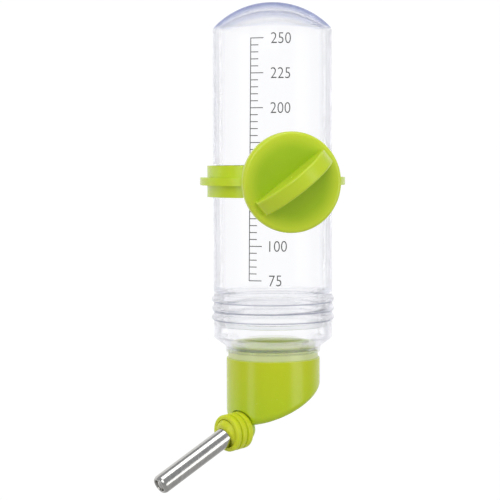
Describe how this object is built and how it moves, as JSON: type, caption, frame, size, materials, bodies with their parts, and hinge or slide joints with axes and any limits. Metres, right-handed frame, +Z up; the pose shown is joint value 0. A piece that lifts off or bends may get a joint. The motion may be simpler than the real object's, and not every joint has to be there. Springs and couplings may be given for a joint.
{
  "type": "small animal water bottle",
  "caption": "Clear cage water bottle with a screw cap, a green elbow, a tilting steel ball tube and a clamp ring with a winged knob.",
  "frame": {"origin": "on the clamp face of the ring's pad, on the knob's axis, where the cage wires are gripped", "axes": "+Z up along the bottle, -Y out of the clamp towards the knob, the bottle's axis at y = 31.2 mm"},
  "size_m": [0.0854, 0.0807, 0.1994],
  "materials": {
    "clear": "clear, glossy",
    "clear_cap": "clear, glossy",
    "green": "glossy moulded",
    "soft_green": "soft satin",
    "seal": "matt silicone",
    "steel": "polished stainless",
    "brass": "turned"
  },
  "bodies": {
    "holder": {"clamp_ring": "green", "clamp_screw": "steel"},
    "insert": {"knob_insert": "brass"},
    "knob": {"clamp_knob": "green"},
    "gasket": {"neck_gasket": "seal"},
    "bottle": {"bottle_body": "clear"},
    "o_ring": {"elbow_o_ring": "seal"},
    "cap": {"screw_cap": "clear_cap", "spout_elbow": "green", "tube_grommet": "soft_green"},
    "tube": {"drinking_tube": "steel"},
    "ball": {"tip_ball": "steel"}
  },
  "joints": [
    {"name": "knob_travel", "type": "slide", "parent": "holder", "child": "insert", "axis": [0, -1, 0], "range_m": [0, 0.0042]},
    {"name": "knob_turn", "type": "hinge", "parent": "insert", "child": "knob", "pos_m": [0, 0, 0], "axis": [0, -1, 0], "range_deg": [0, 2160]},
    {"name": "bottle_slide", "type": "slide", "parent": "holder", "child": "gasket", "axis": [0, 0, 1], "range_m": [-0.05, 0.04]},
    {"name": "bottle_turn", "type": "hinge", "parent": "gasket", "child": "bottle", "pos_m": [0, 0.0312, 0], "axis": [0, 0, 1], "continuous": true},
    {"name": "cap_travel", "type": "slide", "parent": "bottle", "child": "o_ring", "axis": [0, 0, -1], "range_m": [0, 0.008]},
    {"name": "cap_turn", "type": "hinge", "parent": "o_ring", "child": "cap", "pos_m": [0, 0.0312, -0.07], "axis": [0, 0, -1], "range_deg": [0, 720]},
    {"name": "tube_tilt", "type": "hinge", "parent": "cap", "child": "tube", "pos_m": [-0.02074, 0.01947, -0.10353], "axis": [0.4925, -0.8176, -0.2983], "range_deg": [-48, 0]},
    {"name": "ball_roll", "type": "slide", "parent": "tube", "child": "ball", "axis": [0.8215, 0.3236, 0.4695], "range_m": [0, 0.032]}
  ],
  "couplings": [
    {"joint": "knob_travel", "follows": "knob_turn", "m_per_rad": 0.0001114},
    {"joint": "cap_travel", "follows": "cap_turn", "m_per_rad": 0.00063656}
  ]
}
